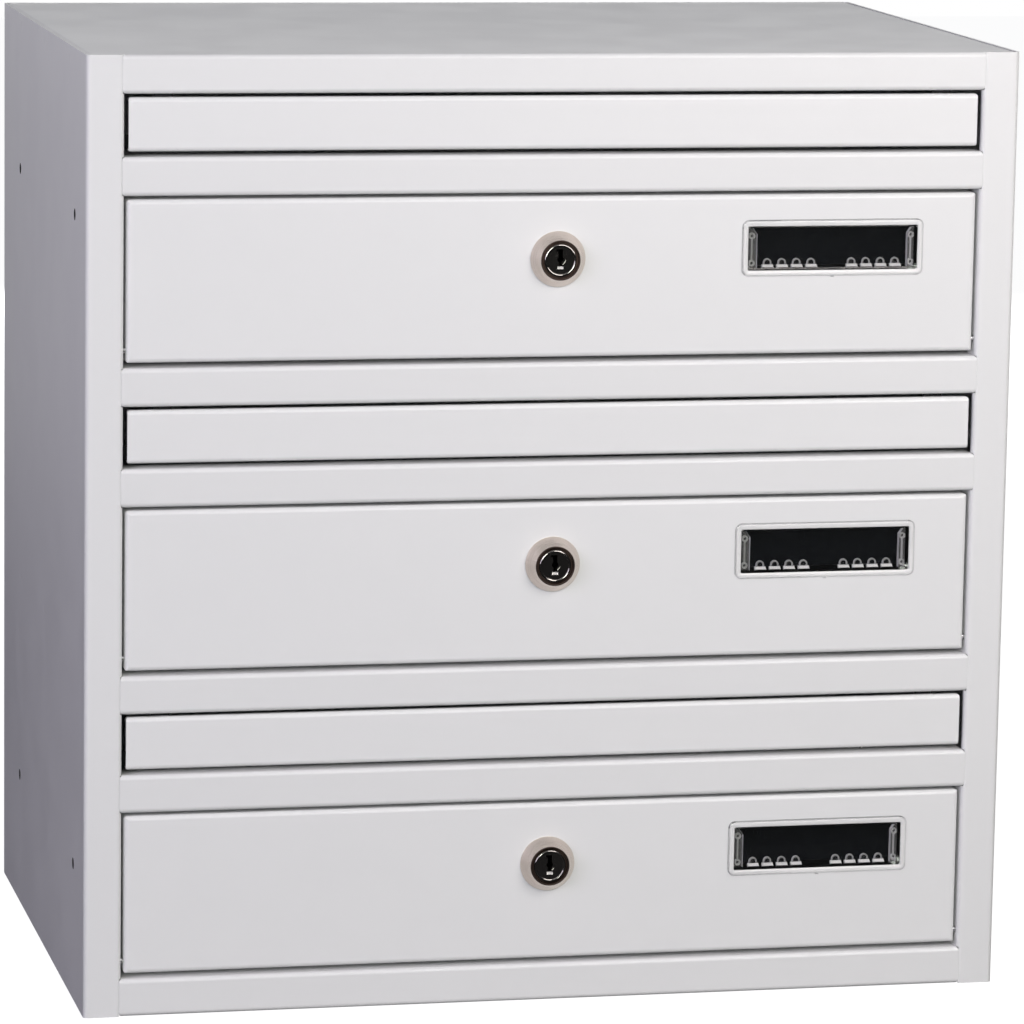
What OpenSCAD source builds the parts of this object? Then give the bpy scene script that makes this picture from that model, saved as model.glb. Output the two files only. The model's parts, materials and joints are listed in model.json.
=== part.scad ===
// Mailbox unit: three letter compartments, one above the other, in one casing of folded sheet steel.
// Each tier has a slot flap that swings inwards, and below it a door that drops forward on two stub pins
// and is held by a cam lock. A clear window for a name strip is snapped into each door.
// Sizes are in millimetres. X runs to the right, Y into the unit and Z up.
// The origin is at the middle of the casing's footprint, at the height of the surface it stands on.

/* [Casing] */
// Outer width of the casing
casing_w = 400; // [360:1:600]
// Outer depth of the casing
casing_d = 269; // [150:1:400]
// Thickness of every sheet
sheet_t = 1; // [0.8:0.1:1.2]
// Inner radius of every fold
bend_r = 1; // [0.6:0.1:1.4]
// Radius of the corners of every rail and front
corner_r = 1.4; // [1.2:0.1:2]
// Face width of the two front stiles
stile_w = 16; // [14:0.5:24]
// Depth of the flange folded back along each stile
stile_return = 12; // [10:0.5:20]
// Width of the side panels' flanges that hold the back panel
rear_flange = 14; // [8:1:30]
// Height of the flanges along the floors and the top
floor_flange = 12; // [6:1:20]
// Cut-away between a floor and the flange of the stile beside it
stile_relief = 0.5; // [0.2:0.1:2]
// How far the end of each rail reaches over the fold of the stile
rail_lap = 0.8; // [0.2:0.1:1.4]
// Length of the tabs that weld each rail to the inside of the stiles
tab_l = 9; // [6:0.5:10]
// Length of each tab on the rail itself
tab_root = 6; // [4:0.5:10]

/* [Tiers] */
// Face height of every front rail
rail_h = 16.2; // [14:0.2:24]
// Height of each mail slot between its rails
slot_h = 26.1; // [22:0.1:40]
// Height of each door opening between its rails
door_open_h = 71.8; // [60:0.1:200]
// Depth of the lip folded back under a rail
rail_lip = 7; // [6.8:0.1:7.2]
// Depth of the safe edge on top of a slot rail
slot_lip = 13; // [8:0.5:14]
// Height of the safe edge turned down behind that lip
safe_edge = 5; // [3:0.5:8]
// Height of the stop that is turned down behind the top of each door
stop_h = 8; // [6:0.5:10]

/* [Fronts] */
// Gap above every flap and door
front_gap = 1.6; // [1.4:0.1:2.4]
// Gap below every flap and door
sill_gap = 2.1; // [1.6:0.1:3]
// Gap at each end of a flap
flap_side_gap = 1.9; // [1.2:0.1:3]
// Gap at each end of a door
door_side_gap = 1.2; // [1:0.1:3]
// Radius of the corners of every flap
flap_corner_r = 1; // [0.6:0.1:2]
// How far the flaps and doors lie behind the front of the casing
front_recess = 1.3; // [0.5:0.1:2]

/* [Slot flaps] */
// Depth of the flange along the top of a flap
flap_top_flange = 3; // [2.5:0.1:3.2]
// Depth of the flange along the bottom of a flap
flap_flange = 12; // [8:0.5:14]
// Height of the lip turned up behind that flange
flap_lip = 6; // [3:0.5:8]
// Diameter of the flap pins
flap_pin_d = 3; // [2:0.1:3.2]
// Radial play of a curled knuckle on its pin
pin_play = 0.08; // [0.04:0.01:0.1]
// Clearance round a knuckle, to the rail and its lip
knuckle_gap = 0.45; // [0.4:0.05:0.6]
// Width of each curled knuckle
knuckle_w = 8; // [6:0.5:30]
// Distance of each knuckle's middle from the end of the flap
knuckle_inset = 15; // [12:0.5:60]
// Side play of a knuckle between its two ears
ear_gap = 0.4; // [0.3:0.1:1]
// Length of pin that stands out past each ear
pin_stand = 0.8; // [0.5:0.1:1.5]
// Width of the material round a pin hole
hole_edge = 1.2; // [0.8:0.1:1.2]
// Gap between a knuckle's neck and the edges of its notch in the rail's lip
neck_gap = 0.3; // [0.3:0.05:0.5]

/* [Doors] */
// Depth of the flanges round a door
door_flange = 16; // [12:0.5:18]
// Height of the lip turned down behind the top flange
door_lip = 9; // [4:0.5:12]
// Gap between a shut door and its stop
stop_gap = 0.3; // [0.2:0.1:1]
// How far that lip and the bottom flange stop short of the door's ends
lip_short = 3; // [2:0.1:6]
// Diameter of the door's hinge pins
door_pin_d = 2.5; // [2:0.1:4]
// Height of the hinge pins above the bottom edge of the door
hinge_up = 5; // [4.4:0.1:6]
// Distance of the hinge pins behind the face of the door
hinge_back = 3.5; // [3.2:0.1:5]
// Radial clearance of a hinge pin in the stile
hinge_play = 0.4; // [0.2:0.05:0.5]
// Length of hinge pin behind the stile's flange
hinge_stand = 1.5; // [1:0.1:4]
// Length of hinge pin inside the door
hinge_inside = 2; // [1:0.5:6]

/* [Cam lock] */
// Distance of the lock below the top edge of the door
lock_drop = 26.4; // [24:0.1:34]
// Diameter of the collar against the door
collar_d = 23.6; // [22:0.1:26]
// Diameter of the collar's front rim
collar_rim_d = 16.8; // [16.4:0.1:19]
// Width of that rim
collar_rim_w = 0.5; // [0.3:0.1:0.8]
// Height of the rounding on that rim
collar_rim_h = 0.2; // [0.1:0.05:0.3]
// Thickness of the collar's edge
collar_edge = 0.7; // [0.4:0.1:1.2]
// Height of the collar
collar_h = 6.2; // [5:0.1:8]
// Depth of the groove between the rim and the plug
collar_groove = 1; // [0.6:0.1:1.8]
// Diameter of the threaded barrel
barrel_d = 18.6; // [17.6:0.1:19.6]
// Distance across the barrel's two flats
barrel_flats = 16; // [15:0.1:17]
// Clearance of the barrel in the door
barrel_gap = 0.15; // [0.05:0.05:0.3]
// Distance across the flats of the lock nut
nut_af = 23; // [22:0.5:26]
// Thickness of the lock nut
nut_t = 3.5; // [2.5:0.5:5]
// Diameter of the plug's head
plug_head_d = 13.8; // [13:0.1:14.6]
// Length of the plug's head
plug_head_l = 5; // [3:0.5:8]
// Diameter of the plug behind its head
plug_d = 12; // [10:0.1:12.6]
// Radial play of the plug in the barrel
plug_play = 0.05; // [0.02:0.01:0.1]
// How far the plug lies behind the collar's rim
plug_drop = 0.3; // [0.1:0.1:0.5]
// Width of the rounded ring round the plug's face
plug_ring = 1.1; // [0.6:0.1:1.4]
// Depth of the plug's face behind that ring
plug_face_drop = 0.4; // [0.2:0.1:0.8]
// Width of the keyway
key_w = 1.9; // [1.6:0.1:2.2]
// Height of the keyway
key_h = 8.4; // [7:0.1:8.8]
// Height of the keyway's middle above the plug's axis
key_rise = 0.5; // [0.2:0.1:0.8]
// Depth of the keyway
key_depth = 9; // [6:0.5:12]
// Width of the arm to the left at the top of the keyway
key_arm = 1; // [0.5:0.1:1.4]
// Diameter of the round widening in the middle of the keyway
key_mid_d = 2.8; // [2.4:0.1:3.2]
// Depth at which the wafers show in the lower half of the keyway
wafer_drop = 0.8; // [0.4:0.1:2]
// Width of the slit through the wafers
wafer_slit = 0.8; // [0.5:0.1:1.2]
// Width of the dimple that guides the key
dimple_w = 4.8; // [3.6:0.1:5.4]
// Height of that dimple
dimple_h = 7.2; // [6:0.1:8]
// Depth of that dimple
dimple_t = 0.3; // [0.1:0.1:0.5]
// Height of that dimple's middle above the plug's axis
dimple_rise = 1.2; // [0.6:0.1:1.4]
// Width of the sloping notch below the keyway
notch_key_w = 2.6; // [2.2:0.1:3.4]
// Height of that notch
notch_key_h = 1.3; // [0.8:0.1:1.6]
// Reach of the cam from the plug's axis
cam_reach = 30; // [27:0.5:34]
// Width of the cam's arm
cam_w = 12; // [10:0.5:14]
// Diameter of the cam's hub
cam_hub_d = 16; // [14:0.5:18]
// Thickness of the cam
cam_t = 2; // [1.5:0.1:3]
// Gap between the cam and the stop that it turns behind
cam_gap = 0.4; // [0.3:0.1:1]
// Play of the cam behind the end of the barrel
cam_play = 0.2; // [0.1:0.05:0.3]
// Width of the square tail that carries the cam
tail_w = 8; // [7:0.1:8.2]
// How much shorter the tail is than the cam is thick
tail_short = 0.1; // [0.05:0.05:0.2]
// Clearance of the cam on that tail
tail_gap = 0.05; // [0.02:0.01:0.1]
// Diameter of the cam screw
cam_screw_d = 5; // [4:0.1:5]
// Diameter of the cam screw's head
cam_screw_head_d = 11; // [10:0.5:12]
// Height of the cam screw's head
cam_screw_head_h = 2.6; // [2:0.1:4]
// Length of the cam screw in the plug
cam_screw_l = 6.5; // [4.5:0.5:7.5]
// Length of the screw hole beyond the screw's tip
screw_hole_end = 0.5; // [0.2:0.1:1]
// Width across the cross recess in the screw's head
recess_w = 5; // [3:0.1:6]
// Width of each arm of that recess
recess_arm = 1.1; // [0.6:0.1:1.4]
// Depth of that recess
recess_t = 1.5; // [1:0.1:1.8]

/* [Name window] */
// Distance of the window's middle from the right end of the door
window_inset = 63.1; // [55:0.1:80]
// Distance of the window's middle below the top edge of the door
window_drop = 22.8; // [20:0.1:28]
// Width of the window's bezel
window_w = 79.8; // [76:0.1:90]
// Height of the window's bezel
window_h = 24.2; // [22:0.1:28]
// Corner radius of the bezel
window_r = 3.2; // [2:0.1:4]
// How far the bezel stands out from the door
window_proud = 1.1; // [0.8:0.1:1.6]
// Radius of the bezel's front edge
bezel_edge = 0.8; // [0.4:0.1:0.8]
// Width of the bezel beyond the window's walls
window_lap = 2.6; // [2:0.1:3]
// Clearance of the window in its cut-out
window_gap = 0.2; // [0.1:0.05:0.4]
// Corner radius of the cut-out
window_cut_r = 1; // [0.6:0.1:1.5]
// Thickness of the clear pane and walls
pane_t = 1; // [0.8:0.1:1.4]
// How far the pane lies behind the bezel
pane_drop = 0.3; // [0.1:0.1:0.6]
// Depth of the window's walls behind the face of the door
window_depth = 10; // [9:0.5:13]
// Width of each post at the ends of the pane
post_w = 3.2; // [2.8:0.1:4]
// Depth of each post behind the pane
post_t = 3; // [1:0.1:3.5]
// Width cut off each post's upper corner
post_cut = 1.8; // [0.5:0.1:2.5]
// Height cut off each post's upper corner
post_cut_h = 2.6; // [0.5:0.1:4]
// Diameter of the ring studs on the posts
stud_d = 2.7; // [2.2:0.1:2.8]
// Width of the wall of a ring stud
stud_wall = 0.6; // [0.4:0.1:0.8]
// Length of the ring studs
stud_l = 1; // [0.5:0.1:3]
// Distance between the two studs of a post
stud_pitch = 11.6; // [8:0.1:12]
// How far the studs' middle lies below the window's middle
stud_drop = 0.8; // [0:0.1:1]
// Width of the rib from stud to stud
stud_rib = 0.5; // [0.3:0.1:1]
// Number of strip clips in each of the two rows
clip_n = 4; // [1:1:5]
// Distance from one strip clip to the next
clip_pitch = 6.4; // [6:0.1:6.8]
// Distance of each row's middle from the window's middle
clip_row_x = 18.5; // [16.5:0.1:19]
// Width of a strip clip
clip_w = 3.6; // [3:0.1:4]
// Height of a strip clip
clip_h = 3.9; // [3:0.1:6]
// Thickness of a strip clip
clip_t = 0.8; // [0.5:0.1:1.2]
// Width of the raised rim round a strip clip
clip_rim = 0.6; // [0.4:0.1:1]
// Height of that rim
clip_rim_t = 0.3; // [0.1:0.1:0.4]
// Gap for the name strip between the pane and the clips
strip_gap = 1.7; // [1.6:0.1:5]
// Width of the ramp in front of each clip
ramp_w = 4.8; // [4:0.1:5.6]
// Height of that ramp
ramp_h = 1.3; // [0.8:0.1:2]
// Height of that ramp's nose
ramp_nose = 0.3; // [0.2:0.1:0.6]
// Length of that ramp
ramp_l = 1.4; // [0.8:0.1:1.5]
// Thickness of the backing plate
backing_t = 0.8; // [0.5:0.1:1.5]
// Clearance of the backing plate between the walls
backing_gap = 0.15; // [0.1:0.05:0.4]
// Length of each snap hook
hook_l = 8; // [5:0.5:12]
// Height of each snap hook
hook_h = 0.9; // [0.5:0.1:1.2]
// Depth of the sloping back of each snap hook
hook_slope = 3.5; // [2:0.1:5]
// Gap between a snap hook and the door's sheet
hook_gap = 0.1; // [0.05:0.05:0.3]
// Distance of the snap hooks from the middle of the window
hook_x = 26; // [18:1:28]
// Width of the moulding mark in the middle of the bezel's lower edge
gate_w = 1.4; // [0.8:0.1:2]
// How far that mark stands out below the bezel
gate_h = 0.4; // [0.2:0.1:0.6]

/* [Fixing holes] */
// Diameter of the holes that link units side by side
link_hole_d = 5; // [3:0.1:7]
// Distance of the front link holes from the front
link_hole_front = 33; // [20:1:50]
// Distance from the front link holes to the rear ones
link_pitch_y = 177; // [64:1:300]
// Height of the lower link holes
link_hole_z = 59.5; // [40:0.5:80]
// Distance from the lower link holes to the upper ones
link_pitch_z = 278; // [200:0.5:290]
// Diameter of the wall holes in the back panel
wall_hole_d = 7; // [4:0.5:10]
// Distance between the wall holes, across
wall_pitch_x = 300; // [100:5:310]
// Height of the lower wall holes
wall_hole_z = 60; // [40:1:90]
// Distance between the wall holes, upwards
wall_pitch_z = 288; // [200:1:292]

/* [Hidden] */
$fn = 48;
TIERS = 3;
eps = 0.01;
// Radial clearance where a pin, screw or nut holds
fit = 0.02;

// Fold and casing
bend_o = bend_r + sheet_t;
pitch = slot_h + door_open_h + 2 * rail_h;
casing_h = rail_h + TIERS * pitch;
front_y = -casing_d / 2;
open_w = casing_w - 2 * stile_w;
inner_w = casing_w - 2 * sheet_t;
back_depth = casing_d - 2 * sheet_t;

// Flaps and doors
flap_w = open_w - 2 * flap_side_gap;
door_w = open_w - 2 * door_side_gap;
flap_h = slot_h - front_gap - sill_gap;
door_h = door_open_h - front_gap - sill_gap;
knuckle_r = flap_pin_d / 2 + pin_play + sheet_t;
pivot = sheet_t + knuckle_gap + knuckle_r;
neck_depth = pivot + knuckle_r - sheet_t;
notch_w = knuckle_w + 2 * ear_gap;
knuckle_x = flap_w / 2 - knuckle_inset;
door_back = front_recess + door_flange;
stop_depth = door_back + stop_gap;
hinge_depth = front_recess + hinge_back;

// Locks
cam_front = stop_depth + sheet_t + cam_gap;
cam_back = cam_front + cam_t;
barrel_end = cam_front - cam_play;
collar_front = front_recess - collar_h;
plug_front = collar_front + plug_drop;
plug_face = plug_front + plug_face_drop;
plug_shoulder = plug_front + plug_head_l;

// Windows
window_x = door_w / 2 - window_inset;
skirt_w = window_w - 2 * window_lap;
skirt_h = window_h - 2 * window_lap;
window_front = front_recess - window_proud;
pane_back = window_front + pane_drop + pane_t;
window_back = front_recess + window_depth;
wall_r = window_cut_r - window_gap;
room_w = skirt_w - 2 * pane_t;
room_h = skirt_h - 2 * pane_t;

// Heights, with tier 0 at the top
function slot_top(n) = casing_h - rail_h - n * pitch;
function slot_bottom(n) = slot_top(n) - slot_h;
function floor_top(n) = slot_bottom(n) - rail_h - door_open_h;
function door_bottom(n) = floor_top(n) + sill_gap;
function door_top(n) = door_bottom(n) + door_h;
function hinge_z(n) = door_bottom(n) + hinge_up;
function lock_z(n) = door_top(n) - lock_drop;
function window_z(n) = door_top(n) - window_drop;

// Placing: outlines are drawn as (depth, height), (across, depth) or (across, height)
module along_x(from, to) {
    translate([from, front_y, 0]) rotate([90, 0, 90]) linear_extrude(to - from) children();
}
module along_y(from, to) {
    translate([0, front_y + to, 0]) rotate([90, 0, 0]) linear_extrude(to - from) children();
}
module along_z(from, to) {
    translate([0, front_y, from]) linear_extrude(to - from) children();
}
module rod_x(from, to, d, depth, z) {
    translate([from, front_y + depth, z]) rotate([0, 90, 0]) cylinder(d = d, h = to - from);
}
module turned_y(x, z) {
    translate([x, front_y, z]) rotate([-90, 0, 0]) rotate_extrude() children();
}
module both_sides() {
    for (side = [0, 1]) mirror([side, 0, 0]) children();
}

// A quarter of a fold, from the direction along the sheet to its outer side
module fold_quarter() {
    intersection() {
        difference() {
            circle(bend_o);
            circle(bend_r);
        }
        square(bend_o);
    }
}

// Sheet seen on its edge: p holds the corners of one face, and the thickness lies to the left of the way
function way(p, i) = (p[i + 1] - p[i]) / norm(p[i + 1] - p[i]);
function bearing(p, i) = atan2(way(p, i).y, way(p, i).x);
function left(v) = [-v.y, v.x];
function turns_left(p, i) = cross(way(p, i - 1), way(p, i)) > 0;
function trim(p, i) = i == 0 || i == len(p) - 1 ? 0 : turns_left(p, i) ? bend_o : bend_r;
module bent(p) {
    for (i = [0 : len(p) - 2]) {
        length = norm(p[i + 1] - p[i]) - trim(p, i) - trim(p, i + 1);
        translate(p[i] + way(p, i) * trim(p, i)) rotate(bearing(p, i)) square([length, sheet_t]);
    }
    for (i = [1 : len(p) - 2]) {
        side = turns_left(p, i) ? 1 : -1;
        centre = p[i] + (left(way(p, i - 1)) * side - way(p, i - 1)) * trim(p, i);
        translate(centre) rotate(bearing(p, i - 1) - (side > 0 ? 90 : 0)) fold_quarter();
    }
}

// Rectangle with its two front corners rounded, standing on y = 0
module fronted(w, d, r) {
    translate([-w / 2, r]) square([w, d - r]);
    translate([r - w / 2, 0]) square([w - 2 * r, d]);
    for (x = [r - w / 2, w / 2 - r]) translate([x, r]) circle(r);
}

// Rectangle with all four corners rounded
module rounded(w, h, r) {
    translate([-w / 2, r - h / 2]) square([w, h - 2 * r]);
    translate([r - w / 2, -h / 2]) square([w - 2 * r, h]);
    for (x = [r - w / 2, w / 2 - r], y = [r - h / 2, h / 2 - r]) translate([x, y]) circle(r);
}

// Block with its front edges rounded by r and its outline's corners by c
module soft_block(w, h, d, r, c) {
    intersection() {
        translate([0, 0, -h / 2]) linear_extrude(h) fronted(w, d, r);
        translate([-w / 2, 0, 0]) rotate([90, 0, 90]) linear_extrude(w) mirror([1, -1, 0]) fronted(h, d, r);
        translate([0, d, 0]) rotate([90, 0, 0]) linear_extrude(d) rounded(w, h, c);
    }
}

// Pressed tray: a face with all four sides folded back by d, its lower edge at height z
module pan(w, h, d, depth, z) {
    translate([0, front_y + depth, z + h / 2]) difference() {
        soft_block(w, h, d, bend_o, corner_r);
        translate([0, sheet_t, 0])
            soft_block(w - 2 * sheet_t, h - 2 * sheet_t, d, bend_r, corner_r - sheet_t);
    }
}

// Casing

module side_panel() {
    plan = [
        [rear_flange - casing_w / 2, casing_d], [-casing_w / 2, casing_d], [-casing_w / 2, 0],
        [-open_w / 2, 0], [-open_w / 2, stile_return]
    ];
    cut_x = -open_w / 2 - 2 * sheet_t;
    difference() {
        along_z(0, casing_h) bent(plan);
        // the top panel lies on the shortened stile
        along_y(sheet_t, bend_o)
            translate([sheet_t - casing_w / 2, casing_h - sheet_t]) square([stile_w, 2 * sheet_t]);
        // the fold ends beside each rail, whose tabs pass behind the face of the stile
        for (n = [0 : TIERS], z = [n * pitch]) stile_notch(z);
        for (n = [0 : TIERS - 1]) {
            stile_notch(slot_bottom(n) - rail_h);
            // the flange is cut away beside each slot
            along_y(bend_o + sheet_t, stile_return + 1)
                translate([cut_x, slot_bottom(n)]) square([3 * sheet_t, slot_h]);
            rod_x(cut_x, cut_x + 3 * sheet_t, door_pin_d + 2 * hinge_play, hinge_depth, hinge_z(n));
        }
        for (y = [0, link_pitch_y], z = [0, link_pitch_z])
            rod_x(-casing_w / 2 - sheet_t, 2 * sheet_t - casing_w / 2, link_hole_d,
                link_hole_front + y, link_hole_z + z);
    }
}
module stile_notch(z) {
    x = -open_w / 2;
    along_y(-sheet_t, bend_o) translate([x - rail_lap, z]) square([stile_w, rail_h]);
    along_y(sheet_t, stile_return + 1) translate([x - bend_o, z]) square([stile_w, rail_h]);
}
module side_panel_left() {
    color("whitesmoke") side_panel();
}
module side_panel_right() {
    color("whitesmoke") mirror([1, 0, 0]) side_panel();
}

// Rail with its lips folded back, and a tab behind each end that is welded to the stile
module channel(z) {
    w = open_w + 2 * rail_lap;
    tab_h = rail_h - 3 * bend_o;
    intersection() {
        along_x(-w / 2, w / 2) bent([[rail_lip, z + rail_h], [0, z + rail_h], [0, z], [rail_lip, z]]);
        along_y(0, rail_lip) translate([0, z + rail_h / 2]) rounded(w, rail_h, corner_r);
    }
    both_sides() translate([w / 2 - tab_root, 0, z + (rail_h - tab_h) / 2]) {
        along_y(sheet_t, 2 * sheet_t) square([tab_root + tab_l, tab_h]);
        along_y(sheet_t / 2, 2 * sheet_t) square([tab_root / 2, tab_h]);
    }
}

// Ears on the lip of a rail, which carry a flap
module ear(z) {
    along_x(0, sheet_t) difference() {
        union() {
            translate([sheet_t + eps, z + sheet_t / 2])
                square([rail_lip - sheet_t - eps, pivot - sheet_t / 2]);
            translate([pivot, z + pivot]) circle(flap_pin_d / 2 + hole_edge);
        }
        translate([pivot, z + pivot]) circle(flap_pin_d / 2 + fit);
    }
}
module rail(z, hinged) {
    difference() {
        channel(z);
        if (hinged) for (x = [-knuckle_x, knuckle_x])
            along_x(x - notch_w / 2, x + notch_w / 2)
                translate([neck_depth - neck_gap, z - 1]) square([rail_lip, sheet_t + 1 + fit]);
    }
    if (hinged) for (x = [-knuckle_x, knuckle_x], side = [-1, 1])
        translate([x + side * (notch_w + sheet_t) / 2 - sheet_t / 2, 0, 0]) ear(z);
}

module top_panel() {
    z = casing_h;
    h = z - floor_flange;
    color("whitesmoke") {
        rail(z - rail_h, true);
        along_x(-open_w / 2, open_w / 2) bent([[back_depth, h], [back_depth, z], [bend_o, z]]);
        along_y(sheet_t, bend_o) for (x = [-inner_w / 2, open_w / 2])
            translate([x, z - sheet_t]) square([(inner_w - open_w) / 2, sheet_t]);
        along_y(bend_o, back_depth - bend_o)
            bent([[inner_w / 2, h], [inner_w / 2, z], [-inner_w / 2, z], [-inner_w / 2, h]]);
    }
}

module floor_panel(n) {
    z = floor_top(n) - sheet_t;
    h = z + floor_flange;
    color("whitesmoke") {
        rail(floor_top(n) - rail_h, n < TIERS - 1);
        along_x(-open_w / 2, open_w / 2) bent([[bend_o, z], [back_depth, z], [back_depth, h]]);
        along_y(stile_return + stile_relief, back_depth - bend_o)
            bent([[-inner_w / 2, h], [-inner_w / 2, z], [inner_w / 2, z], [inner_w / 2, h]]);
    }
}

module back_panel() {
    w = inner_w - 2 * bend_r;
    color("gainsboro") difference() {
        along_y(back_depth, back_depth + sheet_t) translate([-w / 2, 0]) square([w, casing_h]);
        for (x = [-wall_pitch_x / 2, wall_pitch_x / 2], z = [0, wall_pitch_z])
            translate([x, front_y + back_depth - sheet_t, wall_hole_z + z])
                rotate([-90, 0, 0]) cylinder(d = wall_hole_d, h = 3 * sheet_t);
    }
}

// Rail between a slot and the door below it, with the stop for the door behind its lower lip
module slot_rail(n) {
    z = slot_bottom(n) - rail_h;
    color("whitesmoke") {
        channel(z);
        along_x(-open_w / 2, open_w / 2) {
            bent([[slot_lip, z + rail_h - safe_edge], [slot_lip, z + rail_h], [bend_o, z + rail_h]]);
            bent([[bend_o, z], [stop_depth, z], [stop_depth, z - stop_h]]);
        }
    }
}

// Slot flaps

module knuckle(n) {
    z = slot_top(n) - front_gap;
    axis_z = slot_top(n) + pivot;
    along_x(-knuckle_w / 2, knuckle_w / 2) {
        difference() {
            circle_at(pivot, axis_z, knuckle_r);
            circle_at(pivot, axis_z, flap_pin_d / 2 + pin_play);
        }
        translate([neck_depth, z - sheet_t]) square([sheet_t, axis_z - z + sheet_t]);
        translate([front_recess + bend_o, z - sheet_t])
            square([neck_depth - front_recess - bend_o + eps, sheet_t]);
    }
}
module circle_at(x, y, r) {
    translate([x, y]) circle(r);
}
module flap(n) {
    top = slot_top(n) - front_gap;
    bottom = top - flap_h;
    back = front_recess + flap_flange;
    color("whitesmoke") {
        intersection() {
            along_x(-flap_w / 2, flap_w / 2) bent([
                [front_recess + flap_top_flange, top], [front_recess, top], [front_recess, bottom],
                [back, bottom], [back, bottom + flap_lip]
            ]);
            along_y(0, back + 1) translate([0, (top + bottom) / 2]) rounded(flap_w, flap_h, flap_corner_r);
        }
        for (x = [-knuckle_x, knuckle_x]) translate([x, 0, 0]) difference() {
            knuckle(n);
            rod_x(-knuckle_w, knuckle_w, flap_pin_d + 2 * pin_play, pivot, slot_top(n) + pivot);
        }
    }
}
module flap_pins(n) {
    reach = notch_w / 2 + sheet_t + pin_stand;
    color("silver") for (x = [-knuckle_x, knuckle_x])
        rod_x(x - reach, x + reach, flap_pin_d, pivot, slot_top(n) + pivot);
}

// Doors

module barrel_outline(gap) {
    intersection() {
        circle(barrel_d / 2 + gap);
        square([barrel_flats + 2 * gap, barrel_d + 1], center = true);
    }
}
module door(n) {
    top = door_top(n);
    back = front_recess + door_flange;
    lip_w = door_w - 2 * lip_short;
    color("whitesmoke") difference() {
        union() {
            pan(door_w, door_h, door_flange - bend_o, front_recess, door_bottom(n));
            along_x(-lip_w / 2, lip_w / 2) {
                bent([[back, top - door_lip], [back, top], [front_recess + bend_o, top]]);
                translate([front_recess + bend_o, door_bottom(n)]) square([door_flange - bend_o, sheet_t]);
            }
        }
        both_sides()
            rod_x(door_w / 2 - 2 * sheet_t, door_w / 2 + 1, door_pin_d + 2 * fit, hinge_depth, hinge_z(n));
        along_y(0, front_recess + 2 * sheet_t) {
            translate([0, lock_z(n)]) barrel_outline(barrel_gap);
            translate([window_x, window_z(n)])
                rounded(skirt_w + 2 * window_gap, skirt_h + 2 * window_gap, window_cut_r);
        }
    }
}
module door_pins(n) {
    from = door_w / 2 - sheet_t - hinge_inside;
    to = open_w / 2 + sheet_t + hinge_stand;
    color("silver") both_sides() rod_x(from, to, door_pin_d, hinge_depth, hinge_z(n));
}

// Cam locks

// Half-round crest of a ring, from its inner to its outer edge, as points of a turned outline
function crest(from, to, depth, h) = [for (a = [180 : -20 : 0])
    [(from + to) / 2 + (to - from) / 2 * cos(a), depth + h * (1 - sin(a))]];

module lock_housing(n) {
    rim = collar_rim_d / 2;
    inner = rim - collar_rim_w;
    head_bore = plug_head_d / 2 + plug_play;
    bore = plug_d / 2 + plug_play;
    color("lightgray") difference() {
        turned_y(0, lock_z(n)) polygon(concat(
            [[bore, barrel_end], [bore, plug_shoulder + plug_play], [head_bore, plug_shoulder + plug_play]],
            [[head_bore, collar_front + collar_groove], [inner, collar_front + collar_groove]],
            crest(inner, rim, collar_front, collar_rim_h),
            [[collar_d / 2, front_recess - collar_edge], [collar_d / 2, front_recess]],
            [[barrel_d / 2, front_recess], [barrel_d / 2, barrel_end]]
        ));
        // the two flats stop the barrel from turning in the door
        translate([0, front_y + front_recess, lock_z(n)]) both_sides()
            translate([barrel_flats / 2, 0, -barrel_d / 2]) cube([barrel_d, barrel_end, barrel_d]);
    }
}
module lock_nut(n) {
    from = front_recess + sheet_t;
    color("silver") difference() {
        along_y(from, from + nut_t) translate([0, lock_z(n)]) circle(d = nut_af / cos(30), $fn = 6);
        along_y(from - 1, from + nut_t + 1) circle_at(0, lock_z(n), barrel_d / 2 + fit);
    }
}

// The upper part of the keyway, with an arm to the left at its top and a round widening at its middle
module keyway_top() {
    translate([-key_w / 2, key_rise]) square([key_w, key_h / 2]);
    translate([-key_w / 2 - key_arm, key_rise + key_h / 2 - key_arm]) square([key_arm + eps, key_arm]);
    circle_at(0, key_rise, key_mid_d / 2);
}
// The shallow dimple that leads the key in, between two arcs
module key_dimple() {
    a = dimple_w / 2;
    r = (a * a + dimple_h * dimple_h / 4) / dimple_w;
    intersection() {
        circle_at(r - a, dimple_rise, r);
        circle_at(a - r, dimple_rise, r);
    }
}
module keyway_cut() {
    foot = key_rise - key_h / 2;
    along_y(plug_face - 1, plug_face + key_depth) {
        keyway_top();
        translate([-wafer_slit / 2, foot + notch_key_h]) square([wafer_slit, key_h / 2]);
    }
    along_y(plug_face - 1, plug_face + wafer_drop) translate([-key_w / 2, foot]) square([key_w, key_h / 2]);
    along_y(plug_face - 1, plug_face + dimple_t) key_dimple();
    // the notch slopes back and upwards, so that its floor catches the light
    along_x(-notch_key_w / 2, notch_key_w / 2) polygon([
        [plug_face - 1, foot], [plug_face, foot], [plug_face + notch_key_h / 2, foot + notch_key_h],
        [plug_face - 1, foot + notch_key_h]
    ]);
}
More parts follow.
